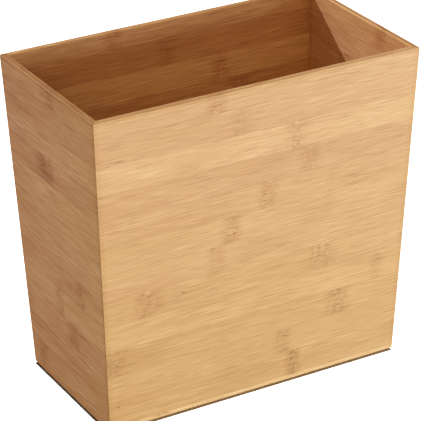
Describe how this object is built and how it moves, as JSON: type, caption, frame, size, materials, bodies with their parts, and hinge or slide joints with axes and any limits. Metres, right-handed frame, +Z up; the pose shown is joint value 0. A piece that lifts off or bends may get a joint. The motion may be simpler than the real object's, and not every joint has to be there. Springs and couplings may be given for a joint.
{
  "type": "wastebasket",
  "caption": "Open-topped rectangular wastebasket of laminated bamboo, flared towards the rim, with mitred corners and a rebated base on rubber pads.",
  "frame": {"origin": "on the floor, under the centre of the basket", "axes": "+X along the width, +Y along the depth towards the back, +Z up to the rim"},
  "size_m": [0.32, 0.178, 0.305],
  "materials": {
    "bamboo": "satin clear-lacquered laminated bamboo, caramel blond",
    "rubber": "matt black rubber"
  },
  "bodies": {
    "root": {"front_wall_slat_01": "bamboo", "front_wall_slat_02": "bamboo", "front_wall_slat_03": "bamboo", "front_wall_slat_04": "bamboo", "front_wall_slat_05": "bamboo", "front_wall_slat_06": "bamboo", "front_wall_slat_07": "bamboo", "front_wall_slat_08": "bamboo", "front_wall_slat_09": "bamboo", "front_wall_slat_10": "bamboo", "front_wall_slat_11": "bamboo", "front_wall_slat_12": "bamboo", "front_wall_slat_13": "bamboo", "right_wall_slat_01": "bamboo", "right_wall_slat_02": "bamboo", "right_wall_slat_03": "bamboo", "right_wall_slat_04": "bamboo", "right_wall_slat_05": "bamboo", "right_wall_slat_06": "bamboo", "right_wall_slat_07": "bamboo", "right_wall_slat_08": "bamboo", "right_wall_slat_09": "bamboo", "right_wall_slat_10": "bamboo", "right_wall_slat_11": "bamboo", "right_wall_slat_12": "bamboo", "right_wall_slat_13": "bamboo", "back_wall_slat_01": "bamboo", "back_wall_slat_02": "bamboo", "back_wall_slat_03": "bamboo", "back_wall_slat_04": "bamboo", "back_wall_slat_05": "bamboo", "back_wall_slat_06": "bamboo", "back_wall_slat_07": "bamboo", "back_wall_slat_08": "bamboo", "back_wall_slat_09": "bamboo", "back_wall_slat_10": "bamboo", "back_wall_slat_11": "bamboo", "back_wall_slat_12": "bamboo", "back_wall_slat_13": "bamboo", "left_wall_slat_01": "bamboo", "left_wall_slat_02": "bamboo", "left_wall_slat_03": "bamboo", "left_wall_slat_04": "bamboo", "left_wall_slat_05": "bamboo", "left_wall_slat_06": "bamboo", "left_wall_slat_07": "bamboo", "left_wall_slat_08": "bamboo", "left_wall_slat_09": "bamboo", "left_wall_slat_10": "bamboo", "left_wall_slat_11": "bamboo", "left_wall_slat_12": "bamboo", "left_wall_slat_13": "bamboo", "base_slat_1": "bamboo", "base_slat_2": "bamboo", "base_slat_3": "bamboo", "base_slat_4": "bamboo", "base_slat_5": "bamboo", "base_slat_6": "bamboo", "rubber_feet": "rubber"}
  },
  "joints": []
}
